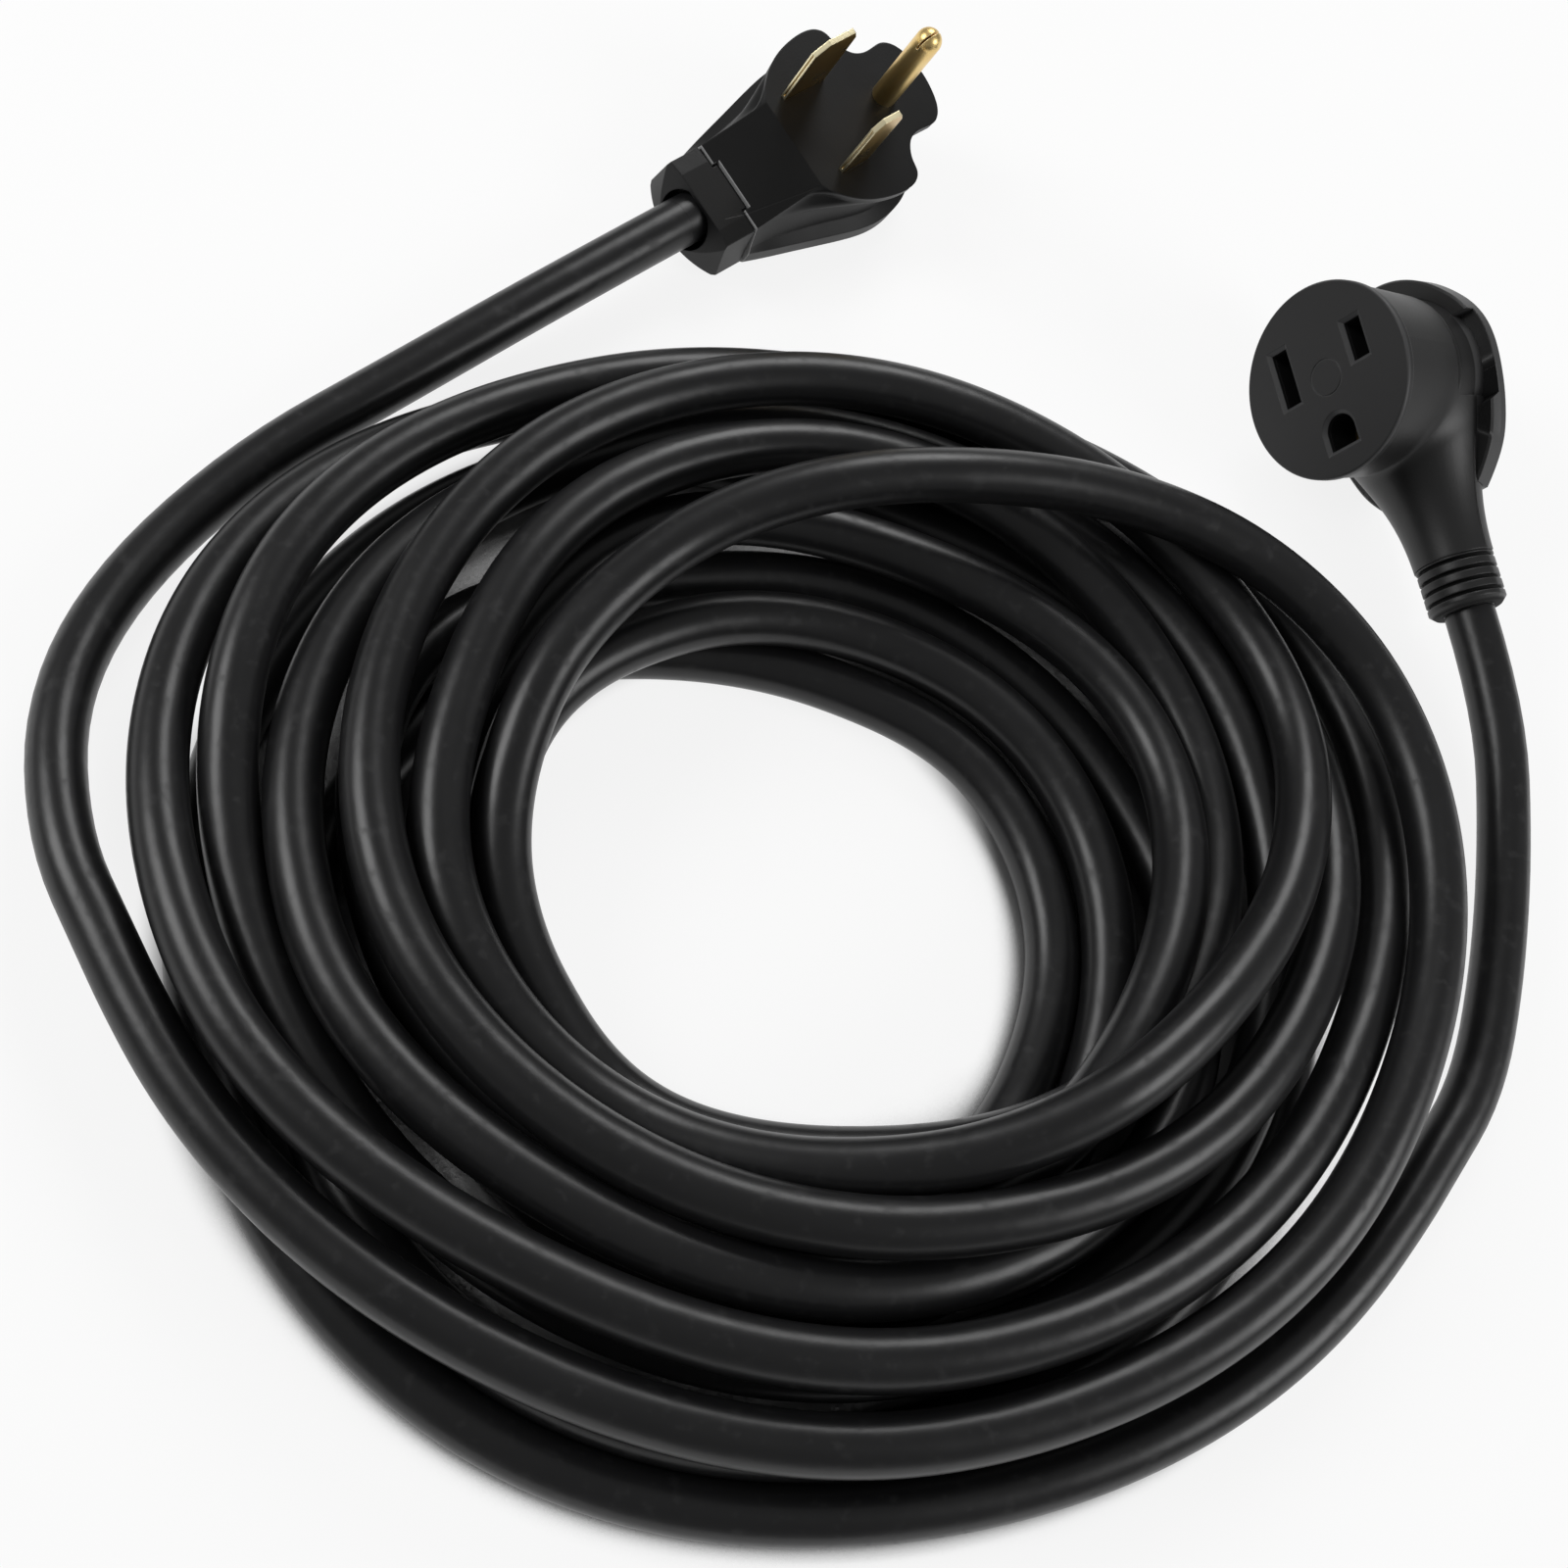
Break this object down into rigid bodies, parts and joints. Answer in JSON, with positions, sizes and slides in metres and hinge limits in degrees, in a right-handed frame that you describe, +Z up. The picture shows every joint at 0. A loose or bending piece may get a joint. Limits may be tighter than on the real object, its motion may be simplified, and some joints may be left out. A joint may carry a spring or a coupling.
{
  "type": "shore power cord",
  "caption": "Coiled heavy black power cord with a right-angle plug of flat blades and a round pin, and a right-angle round-faced connector",
  "frame": {"origin": "on the floor under the middle of the plug and the connector taken together, cord left out", "axes": "X runs from the plug to the connector, Y away from the coil, Z up from the floor the cord lies on"},
  "size_m": [0.3997, 0.4343, 0.0712],
  "materials": {
    "black_moulding": "satin moulded PVC",
    "black_jacket": "satin PVC jacket with soft highlights",
    "hard_black": "fine matt hard plastic",
    "gold_brass": "bright rolled brass",
    "wire_black": "smooth insulation",
    "wire_white": "smooth insulation",
    "wire_green": "smooth insulation"
  },
  "bodies": {
    "root": {"plug_body": "black_moulding", "plug_collar": "black_moulding", "plug_insert": "hard_black", "wide_blade": "gold_brass", "narrow_blade": "gold_brass", "ground_pin": "gold_brass", "plug_jacket_end": "black_jacket", "plug_line_wire": "wire_black", "plug_return_wire": "wire_white", "plug_ground_wire": "wire_green", "connector_body": "black_moulding", "connector_face": "hard_black", "connector_core": "hard_black", "connector_plate": "hard_black", "connector_flange": "black_moulding", "connector_relief": "black_moulding", "connector_jacket_end": "black_jacket", "long_contact": "gold_brass", "short_contact": "gold_brass", "ground_contact": "gold_brass", "connector_line_wire": "wire_black", "connector_return_wire": "wire_white", "connector_ground_wire": "wire_green", "cord_coil": "black_jacket", "cord_plug_lead": "black_jacket", "cord_connector_lead": "black_jacket"}
  },
  "joints": []
}
